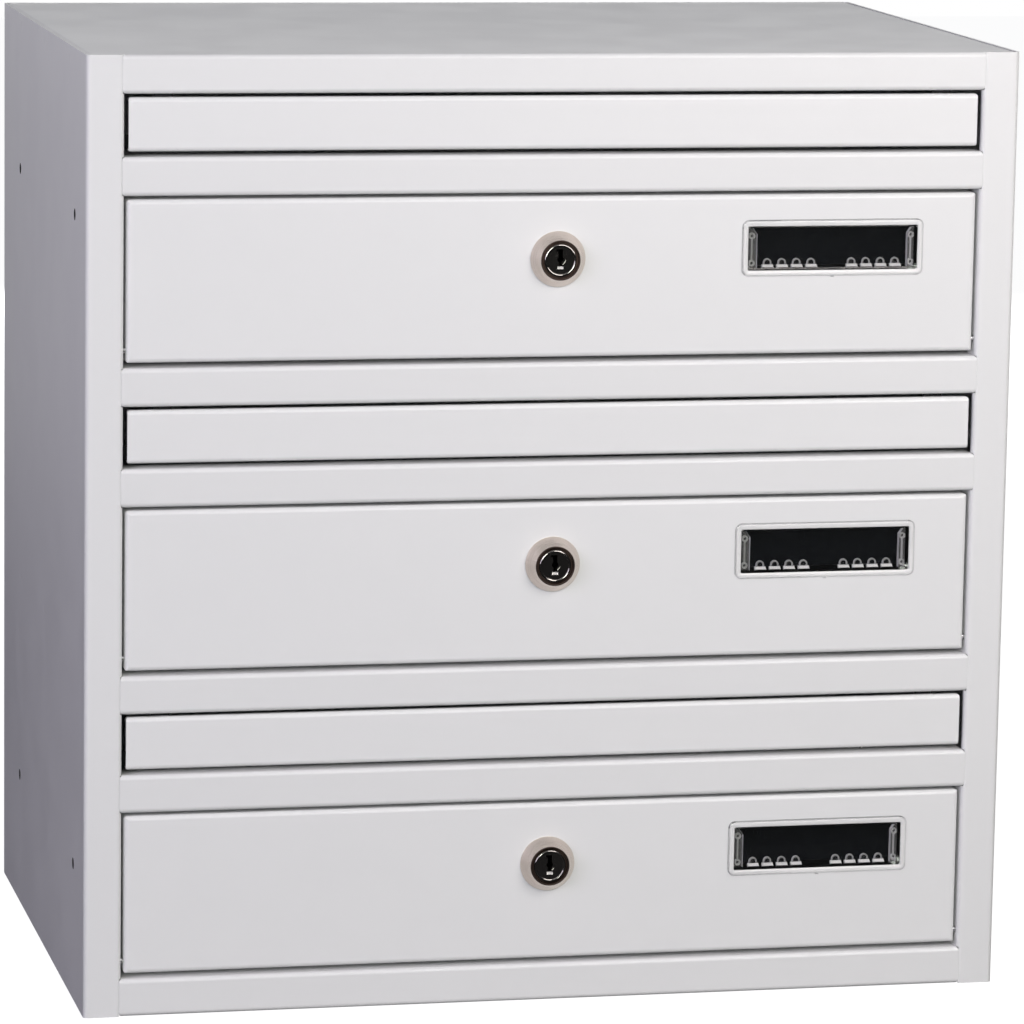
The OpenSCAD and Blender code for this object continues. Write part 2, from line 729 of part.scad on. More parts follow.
module lock_plug(n) {
    head = plug_head_d / 2;
    ring = head - plug_ring;
    color("gray") difference() {
        union() {
            turned_y(0, lock_z(n)) polygon(concat(
                [[0, plug_face]], crest(ring, head, plug_front, plug_face_drop),
                [[head, plug_shoulder], [plug_d / 2, plug_shoulder]],
                [[plug_d / 2, cam_front], [0, cam_front]]
            ));
            along_y(cam_front - eps, cam_back - tail_short)
                translate([0, lock_z(n)]) square(tail_w, center = true);
        }
        translate([0, 0, lock_z(n)]) keyway_cut();
        along_y(cam_back - cam_screw_l - screw_hole_end, cam_back + 1)
            circle_at(0, lock_z(n), cam_screw_d / 2 + fit);
    }
}
module lock_cam(n) {
    color("silver") along_y(cam_front, cam_back) translate([0, lock_z(n)]) difference() {
        union() {
            circle(d = cam_hub_d);
            translate([cam_w / 2 - cam_reach, -cam_w / 2]) square([cam_reach - cam_w / 2, cam_w]);
            translate([cam_w / 2 - cam_reach, 0]) circle(d = cam_w);
        }
        square(tail_w + 2 * tail_gap, center = true);
    }
}
module cam_screw(n) {
    top = cam_back + cam_screw_head_h;
    color("silver") difference() {
        union() {
            along_y(cam_back, top) circle_at(0, lock_z(n), cam_screw_head_d / 2);
            along_y(cam_back - cam_screw_l, cam_back + eps) circle_at(0, lock_z(n), cam_screw_d / 2);
        }
        // cross recess
        along_y(top - recess_t, top + 1) translate([0, lock_z(n)]) {
            square([recess_w, recess_arm], center = true);
            square([recess_arm, recess_w], center = true);
        }
    }
}

// Name windows

// Tongue with a round top, smaller all round by the inset
module clip(inset) {
    r = clip_w / 2 - inset;
    translate([-r, 0]) square([2 * r, clip_h - clip_w / 2]);
    circle_at(0, clip_h - clip_w / 2, r);
}
module strip_clip() {
    foot = -room_h / 2 - eps;
    depth = pane_back + strip_gap;
    difference() {
        along_y(depth, depth + clip_t) translate([0, foot]) clip(0);
        along_y(depth - 1, depth + clip_rim_t) translate([0, foot]) clip(clip_rim);
    }
    along_x(-ramp_w / 2, ramp_w / 2) polygon([
        [depth - ramp_l, foot], [depth + clip_t, foot], [depth + clip_t, foot + ramp_h],
        [depth, foot + ramp_h], [depth - ramp_l, foot + ramp_nose]
    ]);
}
module end_post() {
    inner = room_w / 2 - post_w;
    top = room_h / 2 + eps;
    x = room_w / 2 - stud_d / 2;
    back = pane_back + post_t;
    along_y(pane_back - eps, back) polygon([
        [inner, -top], [room_w / 2 + eps, -top], [room_w / 2 + eps, top], [inner + post_cut, top],
        [inner, top - post_cut_h]
    ]);
    along_y(back - eps, back + stud_l) {
        for (z = [-stud_pitch / 2, stud_pitch / 2]) difference() {
            circle_at(x, z - stud_drop, stud_d / 2);
            circle_at(x, z - stud_drop, stud_d / 2 - stud_wall);
        }
        translate([x - stud_rib / 2, stud_d / 2 - stud_pitch / 2 - stud_drop - eps])
            square([stud_rib, stud_pitch - stud_d + 2 * eps]);
    }
}
module snap_hook() {
    from = front_recess + sheet_t + hook_gap;
    wall = skirt_h / 2;
    along_x(-hook_l / 2, hook_l / 2)
        polygon([[from, wall - eps], [from, wall + hook_h], [from + hook_slope, wall - eps]]);
}
module name_window(n) {
    color("lightcyan", 0.5) translate([window_x, 0, window_z(n)]) {
        difference() {
            union() {
                translate([0, front_y + window_front, 0])
                    soft_block(window_w, window_h, window_proud, bezel_edge, window_r);
                along_y(front_recess - eps, window_back) rounded(skirt_w, skirt_h, wall_r);
            }
            along_y(window_front - 1, window_front + pane_drop) rounded(skirt_w, skirt_h, wall_r);
            along_y(pane_back, window_back + 1) rounded(room_w, room_h, wall_r);
        }
        both_sides() end_post();
        for (row = [-1, 1], i = [0 : clip_n - 1])
            translate([row * clip_row_x + (i - (clip_n - 1) / 2) * clip_pitch, 0, 0]) strip_clip();
        for (x = [-hook_x, hook_x], flip = [0, 1]) translate([x, 0, 0]) mirror([0, 0, flip]) snap_hook();
        along_y(front_recess - window_proud / 2, front_recess)
            translate([-gate_w / 2, -window_h / 2 - gate_h]) square([gate_w, gate_h + pane_t]);
    }
}
module window_backing(n) {
    color("black") along_y(window_back - backing_t, window_back) translate([window_x, window_z(n)])
        rounded(room_w - 2 * backing_gap, room_h - 2 * backing_gap, wall_r);
}

side_panel_left();
side_panel_right();
top_panel();
back_panel();
floor_panel(0);  // floor_1
floor_panel(1);  // floor_2
floor_panel(2);  // floor_3
slot_rail(0);  // slot_rail_1
slot_rail(1);  // slot_rail_2
slot_rail(2);  // slot_rail_3
flap(0);  // flap_1
flap(1);  // flap_2
flap(2);  // flap_3
flap_pins(0);  // flap_pins_1
flap_pins(1);  // flap_pins_2
flap_pins(2);  // flap_pins_3
door(0);  // door_1
door(1);  // door_2
door(2);  // door_3
door_pins(0);  // door_pins_1
door_pins(1);  // door_pins_2
door_pins(2);  // door_pins_3
lock_housing(0);  // lock_housing_1
lock_housing(1);  // lock_housing_2
lock_housing(2);  // lock_housing_3
lock_nut(0);  // lock_nut_1
lock_nut(1);  // lock_nut_2
lock_nut(2);  // lock_nut_3
lock_plug(0);  // lock_plug_1
lock_plug(1);  // lock_plug_2
lock_plug(2);  // lock_plug_3
lock_cam(0);  // lock_cam_1
lock_cam(1);  // lock_cam_2
lock_cam(2);  // lock_cam_3
cam_screw(0);  // cam_screw_1
cam_screw(1);  // cam_screw_2
cam_screw(2);  // cam_screw_3
name_window(0);  // name_window_1
name_window(1);  // name_window_2
name_window(2);  // name_window_3
window_backing(0);  // window_backing_1
window_backing(1);  // window_backing_2
window_backing(2);  // window_backing_3
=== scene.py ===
import json
import math

import bpy
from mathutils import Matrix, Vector


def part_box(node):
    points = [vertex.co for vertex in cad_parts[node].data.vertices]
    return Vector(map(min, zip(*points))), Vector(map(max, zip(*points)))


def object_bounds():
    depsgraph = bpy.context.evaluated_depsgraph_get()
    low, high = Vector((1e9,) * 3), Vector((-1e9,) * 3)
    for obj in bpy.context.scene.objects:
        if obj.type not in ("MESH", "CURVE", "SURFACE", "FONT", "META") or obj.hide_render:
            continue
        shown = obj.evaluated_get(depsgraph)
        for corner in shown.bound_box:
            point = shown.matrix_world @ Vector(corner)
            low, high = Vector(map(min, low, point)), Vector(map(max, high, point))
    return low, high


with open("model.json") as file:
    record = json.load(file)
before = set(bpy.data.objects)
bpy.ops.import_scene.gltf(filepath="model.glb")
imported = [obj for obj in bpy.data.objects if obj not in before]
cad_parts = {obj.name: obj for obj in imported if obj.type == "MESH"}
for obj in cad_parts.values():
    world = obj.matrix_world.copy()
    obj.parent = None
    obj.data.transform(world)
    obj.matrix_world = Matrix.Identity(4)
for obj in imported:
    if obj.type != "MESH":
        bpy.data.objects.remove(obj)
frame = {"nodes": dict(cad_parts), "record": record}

cad_low, cad_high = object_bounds()


# Powder coat. Every sheet of the unit is steel, 1 mm thick, pressed and spot welded, then sprayed with white
# polyester powder and stoved. The coat is satin, with a faint orange peel and a little waviness of the sheet.
# It is a shader group, because the casing, the flaps and the doors share it with their own values.

def new_group(name, inputs, outputs):
    """A shader node group with named sockets, and its input and output nodes."""
    group = bpy.data.node_groups.new(name, "ShaderNodeTree")
    kinds = {"colour": "NodeSocketColor", "value": "NodeSocketFloat", "vector": "NodeSocketVector"}
    for label, kind, value in inputs:
        socket = group.interface.new_socket(label, in_out="INPUT", socket_type=kinds[kind])
        socket.default_value = value
    for label, kind in outputs:
        group.interface.new_socket(label, in_out="OUTPUT", socket_type=kinds[kind])
    return group, group.nodes.new("NodeGroupInput"), group.nodes.new("NodeGroupOutput")


def feed(tree, sockets, sources):
    """Links each named socket to the socket that feeds it, or sets it to a plain value."""
    for name, source in sources.items():
        if isinstance(source, bpy.types.NodeSocket):
            tree.links.new(source, sockets[name])
        else:
            sockets[name].default_value = source


def add(tree, kind, sources, **settings):
    """A node with its settings and with what feeds its sockets."""
    made = tree.nodes.new(kind)
    for name, value in settings.items():
        setattr(made, name, value)
    feed(tree, made.inputs, sources)
    return made


def coordinates(tree, kind):
    return add(tree, "ShaderNodeTexCoord", {}).outputs[kind]


def spread(tree, vector):
    """The X, Y and Z of a vector."""
    return add(tree, "ShaderNodeSeparateXYZ", {"Vector": vector}).outputs


def moved(tree, vector, origin):
    """A vector, measured from an origin."""
    return add(tree, "ShaderNodeVectorMath", {0: vector, 1: origin}, operation="SUBTRACT").outputs[0]


def scaled(tree, vector, sizes):
    return add(tree, "ShaderNodeVectorMath", {0: vector, 1: sizes}, operation="MULTIPLY").outputs[0]


def maths(tree, operation, first, second=0.0):
    return add(tree, "ShaderNodeMath", {0: first, 1: second}, operation=operation).outputs[0]


def plus(tree, first, second):
    return maths(tree, "ADD", first, second)


def minus(tree, first, second):
    return maths(tree, "SUBTRACT", first, second)


def times(tree, first, second):
    return maths(tree, "MULTIPLY", first, second)


def larger(tree, first, second):
    return maths(tree, "MAXIMUM", first, second)


def size_of(tree, value):
    return maths(tree, "ABSOLUTE", value)


def across(tree, first, second):
    """The straight distance to a point that is first away one way and second away square to it."""
    return maths(tree, "SQRT", plus(tree, times(tree, first, first), times(tree, second, second)))


def noise(tree, where, scale, detail=2.0):
    return add(tree, "ShaderNodeTexNoise", {"Vector": where, "Scale": scale, "Detail": detail}).outputs["Fac"]


def mixed(tree, amount, first, second):
    """Two colours, mixed. The node takes the amount at socket 0 and the colours at 6 and 7."""
    return add(tree, "ShaderNodeMix", {0: amount, 6: first, 7: second}, data_type="RGBA").outputs[2]


def ramped(tree, value, low, high, to_low=0.0, to_high=1.0):
    """A smooth step from to_low, where the value is low, to to_high, where it is high."""
    sources = {"Value": value, "From Min": low, "From Max": high, "To Min": to_low, "To Max": to_high}
    return add(tree, "ShaderNodeMapRange", sources, interpolation_type="SMOOTHSTEP").outputs[0]


coat, coat_in, coat_out = new_group(
    "powder_coat",
    [("Where", "vector", (0, 0, 0)), ("Colour", "colour", (0.8, 0.8, 0.8, 1)), ("Shade", "value", 0.02),
     ("Roughness", "value", 0.4), ("Peel", "value", 1.0), ("Wave", "value", 1.0)],
    [("Colour", "colour"), ("Roughness", "value"), ("Height", "value")],
)
thin_coat = (0.52, 0.52, 0.54, 1)
fine_peel_share, wave_share = 0.4, 40
coat_at, coat_white = coat_in.outputs["Where"], coat_in.outputs["Colour"]
peel = noise(coat, coat_at, scale=900, detail=1.5)
fine_peel = noise(coat, coat_at, scale=2600, detail=1.0)
wave = noise(coat, coat_at, scale=14, detail=1.0)
patch = noise(coat, coat_at, scale=38, detail=3.0)
thinner = mixed(coat, coat_in.outputs["Shade"], coat_white, thin_coat)
both_peels = plus(coat, peel, times(coat, fine_peel, fine_peel_share))
peel_height = times(coat, both_peels, coat_in.outputs["Peel"])
wave_height = times(coat, times(coat, wave, coat_in.outputs["Wave"]), wave_share)
feed(coat, coat_out.inputs, {
    "Colour": mixed(coat, ramped(coat, patch, 0.35, 0.7), coat_white, thinner),
    "Roughness": plus(coat, coat_in.outputs["Roughness"], ramped(coat, patch, 0.3, 0.7, -0.03, 0.03)),
    "Height": plus(coat, peel_height, wave_height),
})


def new_material(name, **constants):
    """A material with its tree and its Principled BSDF, whose own sockets hold the constants."""
    made = bpy.data.materials.new(name)
    made.use_nodes = True
    shader = made.node_tree.nodes["Principled BSDF"]
    for socket, value in constants.items():
        shader.inputs[socket.replace("_", " ")].default_value = value
    return made, made.node_tree, shader


def dress(tree, shader, colour, roughness, height, depth):
    """Feeds a shader. Depth is what a height of 1 stands for, in metres. Gives the bumped normal."""
    bump = add(tree, "ShaderNodeBump", {"Height": height, "Strength": 1.0, "Distance": depth})
    normal = bump.outputs["Normal"]
    feed(tree, shader.inputs, {"Base Color": colour, "Roughness": roughness, "Normal": normal})
    return normal


peel_deep = 0.000006
# Near-black, matt painted shade, put in gaps and bores where shade falls.
painted_shade_black, painted_shade_roughness = (0.018, 0.018, 0.021, 1), 0.95


def painted(name, colour, roughness, shade=0.03, peel=1.0, wave=1.0, marks=None, painted_shade=None):
    """Coated sheet: marks gives a height to add, and the shade mask, the last argument, tells where shade is
    painted near-black on the coat.
    """
    made, tree, shader = new_material(name, IOR=1.5)
    paint = add(tree, "ShaderNodeGroup", {
        "Where": coordinates(tree, "Object"), "Colour": (*colour, 1), "Shade": shade, "Roughness": roughness,
        "Peel": peel, "Wave": wave}, node_tree=coat).outputs
    shade_here, rough_here, height = paint["Colour"], paint["Roughness"], paint["Height"]
    # Shade is painted near-black where the shade mask is set.
    if painted_shade:
        shade_mask = painted_shade(tree)
        shade_here = mixed(tree, shade_mask, shade_here, painted_shade_black)
        rough_here = larger(tree, rough_here, times(tree, shade_mask, painted_shade_roughness))
    if marks:
        height = plus(tree, height, marks(tree))
    dress(tree, shader, shade_here, rough_here, height, peel_deep)
    return made


# Side panels. Each is one pressing: the side wall, the front stile with the flange folded back along it, and
# the rear flange. Floors and top are spot welded to its inside, which leaves shallow dimples outside.

tiers = (1, 2, 3)
node = frame["nodes"]


def in_each_tier(*parts):
    """The names of parts that every tier has."""
    return ["%s_%d" % (part, n) for part in parts for n in tiers]


def finish(names, material):
    """Gives CAD nodes their material."""
    for name in names:
        mesh = node[name].data
        mesh.materials.clear()
        mesh.materials.append(material)
        for face in mesh.polygons:
            face.material_index = 0


weld_r, weld_flat_r = 0.0028, 0.00084
weld_deep_in_peels = 22.0
weld_drop = 0.0057
weld_depths = (0.0485, 0.1276, 0.206)
stile_weld_depth, stile_weld_drop = 0.0186, 0.012
front_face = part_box("side_panel_left")[0].y
shelf_tops = [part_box(name)[1].z for name in ["top_panel"] + in_each_tier("floor")]
welds = [(depth, top - weld_drop) for top in shelf_tops for depth in weld_depths]
welds.append((stile_weld_depth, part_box("door_1")[1].z - stile_weld_drop))
outer_skin = 0.0005


def weld_dimples(tree):
    """Height of the weld marks on the outer face: a shallow dish at each weld."""
    place = spread(tree, coordinates(tree, "Object"))
    total = 0.0
    for depth, height in welds:
        far = across(tree, minus(tree, place["Y"], front_face + depth), minus(tree, place["Z"], height))
        total = plus(tree, ramped(tree, far, weld_flat_r, weld_r, -weld_deep_in_peels, 0.0), total)
    outside = maths(tree, "GREATER_THAN", size_of(tree, place["X"]), -cad_low.x - outer_skin)
    return times(tree, total, outside)


link_holes = next(mount for mount in frame["record"]["mounts"] if mount["name"] == "link_holes_left")
link_middle, link_sizes = link_holes["pos_m"], link_holes["dims"]
millimetres = 1000
link_r = link_sizes["hole_r_mm"] / millimetres
half_depth = link_sizes["spacing_x_mm"] / 2 / millimetres
half_height = link_sizes["spacing_y_mm"] / 2 / millimetres
bore_margin = 0.00003


def bore_shade(tree):
    """Mask of the link holes' bores, where shade is painted near-black."""
    place = spread(tree, coordinates(tree, "Object"))
    off_y = minus(tree, size_of(tree, minus(tree, place["Y"], link_middle[1])), half_depth)
    off_z = minus(tree, size_of(tree, minus(tree, place["Z"], link_middle[2])), half_height)
    return maths(tree, "LESS_THAN", across(tree, off_y, off_z), link_r + bore_margin)


casing_white = (0.80, 0.80, 0.805)
finish(["side_panel_left", "side_panel_right"],
       painted("side_panel_coat", casing_white, 0.38, marks=weld_dimples, painted_shade=bore_shade))


# Top, floors and slot rails. Top and floors are trays whose front edge is pressed into the rail above a flap
# or below a door. The slot rails carry the stops behind the doors. All are welded to the side panels.

finish(["top_panel"] + in_each_tier("floor", "slot_rail"),
       painted("rail_coat", casing_white, 0.36))


# Back panel. A flat sheet held between the flanges of the side panels and of the floors, with four screw
# holes. It is coated with the rest, but thinner and rougher, because the gun reaches it last.

back_white = (0.76, 0.76, 0.765)
finish(["back_panel"],
       painted("back_coat", back_white, 0.48, shade=0.06, peel=1.4, wave=1.6))


# Slot flaps. Channels of the same sheet that hang on two curled knuckles behind the rail and swing inwards.
# The knuckles and the ends of the folds behind the face are painted near-black, as painted shade in the gaps
# round the flap.

flap_low, flap_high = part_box("flap_1")
flap_size = flap_high - flap_low
knuckles_high, knuckles_soft = 0.0081, 0.0004
curl_from, curl_to = 0.0095, 0.0093
fold_from, fold_to = 0.0031, 0.0033
shaded_end = 0.004


def knuckle_shade(tree):
    """Mask of painted shade: the knuckles, and the ends of the folds behind the flap's face, painted
    near-black for the shade in the gaps round the flap.
    """
    place = spread(tree, scaled(tree, coordinates(tree, "Generated"), flap_size))
    foot = flap_size.z - knuckles_high
    knuckle = ramped(tree, place["Z"], foot, foot + knuckles_soft)
    curl = ramped(tree, place["Z"], flap_size.z - curl_from, flap_size.z - curl_to)
    folded = ramped(tree, place["Y"], fold_from, fold_to)
    from_middle = size_of(tree, minus(tree, place["X"], flap_size.x / 2))
    end = maths(tree, "GREATER_THAN", from_middle, flap_size.x / 2 - shaded_end)
    return larger(tree, knuckle, times(tree, larger(tree, curl, end), folded))


front_white = (0.81, 0.81, 0.815)
finish(in_each_tier("flap"), painted("flap_coat", front_white, 0.35, painted_shade=knuckle_shade))


# Doors. Pressed trays with the corners welded and ground before coating, so that their outline is soft. The
# coat follows a sheet that is a little less flat than the casing's.

finish(in_each_tier("door"), painted("door_coat", front_white, 0.37, wave=1.5))


# Hinge pins. Drawn steel wire cut to length, left bright: two stub pins press-fitted in each door, and two
# pins through the knuckles of each flap. The drawing leaves fine lines along the wire.

bright_wire, tree, shader = new_material("bright_wire", Metallic=1.0)
wire, line_shade = (0.72, 0.72, 0.73), 0.82
wire_light, wire_dark = (*wire, 1), (*(line_shade * part for part in wire), 1)
lines_across = (60, 2400, 2400)
stretched = add(tree, "ShaderNodeMapping", {"Vector": coordinates(tree, "Object"), "Scale": lines_across})
lines = noise(tree, stretched.outputs[0], scale=1.0)
dress(tree, shader, mixed(tree, ramped(tree, lines, 0.3, 0.7), wire_light, wire_dark),
      ramped(tree, lines, 0.3, 0.7, 0.17, 0.30), lines, depth=0.000004)
finish(in_each_tier("flap_pins", "door_pins"), bright_wire)


# Lock housings. Zinc castings turned on the collar, then plated in satin nickel. The turning leaves fine
# rings round the lock's axis, which draw the light out into bands across the cone.

turned, turned_in, turned_out = new_group(
    "turning_marks",
    [("Where", "vector", (0, 0, 0)), ("Pitch", "value", 200.0), ("Uneven", "value", 0.3)],
    [("Height", "value"), ("Shade", "value"), ("Radius", "value")],
)
rings_to_box = turned_in.outputs["Pitch"]
from_axis = spread(turned, moved(turned, turned_in.outputs["Where"], (0.5, 0.5, 0.5)))
radius = across(turned, from_axis["X"], from_axis["Z"])
angle = maths(turned, "ARCTAN2", from_axis["X"], from_axis["Z"])
ring = add(turned, "ShaderNodeCombineXYZ", {
    "X": times(turned, radius, rings_to_box),
    "Y": times(turned, from_axis["Y"], rings_to_box),
    "Z": times(turned, angle, turned_in.outputs["Uneven"]),
})
rings = noise(turned, ring.outputs[0], scale=1.0)
ring_shade = ramped(turned, rings, 0.3, 0.7)
feed(turned, turned_out.inputs, {"Height": rings, "Shade": ring_shade, "Radius": radius})


def turned_metal(name, light, dark, roughness, anisotropic, pitch, depth, hollows):
    """Turned metal. Hollows finds masks of its hollows, each with its painted colour and roughness: the
    painted shades, reflections and highlights in them.
    """
    made, tree, shader = new_material(name, Metallic=1.0, Anisotropic=anisotropic)
    in_box = coordinates(tree, "Generated")
    marks = add(tree, "ShaderNodeGroup", {"Where": in_box, "Pitch": pitch}, node_tree=turned).outputs
    colours = mixed(tree, marks["Shade"], light, dark)
    rough = ramped(tree, marks["Height"], 0.2, 0.8, roughness - 0.04, roughness + 0.06)
    for mask, painted_hollow_colour, hollow_roughness in hollows(tree, in_box, marks["Radius"]):
        colours = mixed(tree, mask, colours, painted_hollow_colour)
        rough = plus(tree, rough, times(tree, mask, hollow_roughness - roughness))
    dress(tree, shader, colours, rough, marks["Height"], depth)
    if anisotropic:
        round_axis = add(tree, "ShaderNodeTangent", {}, direction_type="RADIAL", axis="Y")
        feed(tree, shader.inputs, {"Tangent": round_axis.outputs[0]})
    return made


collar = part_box("lock_housing_1")
collar_width = collar[1].x - collar[0].x
groove_r, groove_soft = 0.00845, 0.00013
# The groove's dark brown is a painted dark reflection.
groove_reflection_brown, groove_roughness = (0.060, 0.042, 0.036, 1), 0.38


def collar_groove_reflection(tree, in_box, radius):
    """The groove between the rim and the plug, painted dark brown and dull as a painted dark reflection."""
    mask = ramped(tree, radius, groove_r / collar_width, (groove_r + groove_soft) / collar_width, 1, 0)
    return [(mask, groove_reflection_brown, groove_roughness)]


nickel_light, nickel_dark = (0.80, 0.72, 0.655, 1), (0.62, 0.545, 0.49, 1)
finish(in_each_tier("lock_housing"),
       turned_metal("satin_nickel", nickel_light, nickel_dark, roughness=0.28, anisotropic=0.6, pitch=150,
                    depth=0.000004, hollows=collar_groove_reflection))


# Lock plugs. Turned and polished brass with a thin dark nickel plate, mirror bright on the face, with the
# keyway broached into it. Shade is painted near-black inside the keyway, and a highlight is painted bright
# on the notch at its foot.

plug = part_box("lock_plug_1")
plug_width, plug_length = plug[1].x - plug[0].x, plug[1].y - plug[0].y
keyway_deep, keyway_soft = 0.00066, 0.00024
notch_deep, notch_soft = 0.00042, 0.00008
notch_foot, notch_top, notch_r = 0.0027, 0.0025, 0.0050
# Painted shade in the keyway, and a painted highlight on the notch.
keyway_shade_black, keyway_roughness = (0.012, 0.011, 0.011, 1), 0.5
notch_highlight, notch_roughness = (0.80, 0.79, 0.78, 1), 0.55


def keyway(tree, in_box, radius):
    """Masks of the keyway behind the plug's face, where shade is painted near-black, and of the notch at its
    foot, where a highlight is painted bright.
    """
    place = spread(tree, in_box)
    deep = ramped(tree, place["Y"], keyway_deep / plug_length, (keyway_deep + keyway_soft) / plug_length)
    low = ramped(tree, place["Z"], 0.5 - notch_foot / plug_width, 0.5 - notch_top / plug_width, 1, 0)
    sunk = ramped(tree, place["Y"], notch_deep / plug_length, (notch_deep + notch_soft) / plug_length)
    inside = maths(tree, "LESS_THAN", radius, notch_r / plug_width)
    notch = times(tree, times(tree, low, sunk), inside)
    return [(deep, keyway_shade_black, keyway_roughness), (notch, notch_highlight, notch_roughness)]


plate_light, plate_dark = (0.34, 0.325, 0.31, 1), (0.29, 0.275, 0.265, 1)
finish(in_each_tier("lock_plug"),
       turned_metal("polished_plug", plate_light, plate_dark, roughness=0.10, anisotropic=0.0, pitch=90,
                    depth=0.000001, hollows=keyway))


# Nuts, cams and screws behind the doors. Pressed or rolled steel, zinc plated and passivated, with the
# cloudy bluish and straw tints of that bath.

zinc_plate, tree, shader = new_material("zinc_plate", Metallic=1.0)
bluish, straw = (0.62, 0.65, 0.69, 1), (0.70, 0.68, 0.62, 1)
cloud = noise(tree, coordinates(tree, "Object"), scale=420, detail=3.0)
grain = noise(tree, coordinates(tree, "Object"), scale=5200)
dress(tree, shader, mixed(tree, ramped(tree, cloud, 0.35, 0.65), bluish, straw),
      ramped(tree, grain, 0.3, 0.7, 0.30, 0.46), grain, depth=0.000006)
finish(in_each_tier("lock_nut", "lock_cam", "cam_screw"), zinc_plate)


# Name windows. Moulded in clear polystyrene and snapped into the doors, with clips for a paper strip behind
# the pane. The lap on the door is crowned, the mould leaves the edges behind the pane matt, and the walls
# through the door are painted black, so that the cut in the door doesn't show. The walls through the door
# are tinted near-black as painted shade, and the bezel's rounded outer edge grey as a painted dark contour.

window_low, window_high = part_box("name_window_1")
window_size = window_high - window_low
moulding_mark = 0.0004
bezel_height = window_size.z - moulding_mark
bezel_middle = (0.5, 0, (moulding_mark + bezel_height / 2) / window_size.z)
lap, corner, pane_t = 0.0026, 0.0032, 0.0010
rounding_from, rounding_to = 0.0005, 0.0008
pane_deep, clips_deep, posts_deep, studs_deep = 0.0013, 0.0030, 0.0043, 0.0053
same_depth, soft_edge, crown_high, flow_share = 0.00008, 0.0001, 0.0004, 0.01
# The second colour here is a painted dark contour on the bezel's rounded edge; the first on the next line is
# painted shade on the walls through the door.
polystyrene, rounding_shade_grey = (0.985, 0.985, 0.985, 1), (0.55, 0.55, 0.56, 1)
wall_shade_black, matt_white = (0.03, 0.03, 0.032, 1), (0.95, 0.945, 0.94, 1)
edge_matting, lap_matting = 0.9, 0.45
mattings = ((clips_deep, 0.32), (posts_deep, 0.10), (studs_deep, 0.45))

window, tree, shader = new_material("clear_polystyrene", IOR=1.58, Transmission_Weight=1.0)
from_bezel = moved(tree, coordinates(tree, "Generated"), bezel_middle)
place = spread(tree, scaled(tree, from_bezel, window_size))


def inward_of_outline():
    """How far a point lies inside the bezel's outline, a rectangle with rounded corners."""
    past_x = minus(tree, size_of(tree, place["X"]), window_size.x / 2 - corner)
    past_z = minus(tree, size_of(tree, place["Z"]), bezel_height / 2 - corner)
    from_corner = across(tree, larger(tree, past_x, 0.0), larger(tree, past_z, 0.0))
    straight = maths(tree, "MINIMUM", larger(tree, past_x, past_z), 0.0)
    return minus(tree, minus(tree, corner, from_corner), straight)


def at_depth(depth):
    """Mask of the flat faces at a depth behind the front of the bezel."""
    return maths(tree, "LESS_THAN", size_of(tree, minus(tree, place["Y"], depth)), same_depth)


inward = inward_of_outline()
in_front = ramped(tree, place["Y"], pane_deep - 3 * soft_edge, pane_deep - soft_edge, 1, 0)
on_lap = times(tree, ramped(tree, inward, lap - soft_edge, lap + soft_edge, 1, 0), in_front)
crown = times(tree, times(tree, inward, minus(tree, lap, inward)), 4 / lap ** 2)
rounded = times(tree, ramped(tree, inward, rounding_from, rounding_to, 1, 0), in_front)
behind = maths(tree, "GREATER_THAN", place["Y"], pane_deep + 2 * soft_edge)
walls = maths(tree, "LESS_THAN", inward, lap + pane_t + soft_edge / 2)
# Painted shade: grey on the rounded outer edge, and near-black on the walls through the door.
tint = mixed(tree, rounded, polystyrene, rounding_shade_grey)
tint = mixed(tree, times(tree, behind, walls), tint, wall_shade_black)
flow = noise(tree, coordinates(tree, "Object"), scale=260, detail=1.0)
relief = plus(tree, times(tree, flow, flow_share), times(tree, crown, on_lap))
normal = dress(tree, shader, tint, ramped(tree, flow, 0.3, 0.7, 0.02, 0.06), relief, crown_high)
matt = add(tree, "ShaderNodeBsdfPrincipled", {"Base Color": matt_white, "Roughness": 0.35, "Normal": normal})

facing = size_of(tree, spread(tree, coordinates(tree, "Normal"))["Y"])
moulded = times(tree, ramped(tree, facing, 0.6, 0.92, 1, 0), edge_matting)
for depth, matting in mattings:
    moulded = larger(tree, moulded, times(tree, at_depth(depth), matting))
moulded = times(tree, moulded, times(tree, behind, minus(tree, 1.0, walls)))
plain_lap = times(tree, on_lap, minus(tree, 1.0, rounded))
frosted = larger(tree, moulded, times(tree, plain_lap, lap_matting))
clear = add(tree, "ShaderNodeMixShader", {0: frosted, 1: shader.outputs[0], 2: matt.outputs[0]})

# Light that comes through or is scattered passes the window straight, so that what lies behind it is lit.
through = add(tree, "ShaderNodeBsdfTransparent", {"Color": (0.94, 0.94, 0.94, 1)})
ray = add(tree, "ShaderNodeLightPath", {}).outputs
passing = larger(tree, ray["Is Shadow Ray"], ray["Is Diffuse Ray"])
clear = add(tree, "ShaderNodeMixShader", {0: passing, 1: clear.outputs[0], 2: through.outputs[0]})
feed(tree, tree.nodes["Material Output"].inputs, {"Surface": clear.outputs[0]})
finish(in_each_tier("name_window"), window)


# Card. A strip of card behind each window's clips, on which a name strip would lie, coloured near-black as
# painted shade for the dark behind the window. Its fibres make it a little uneven.

card, tree, shader = new_material("card_painted_shade", IOR=1.45, Specular_IOR_Level=0.05)
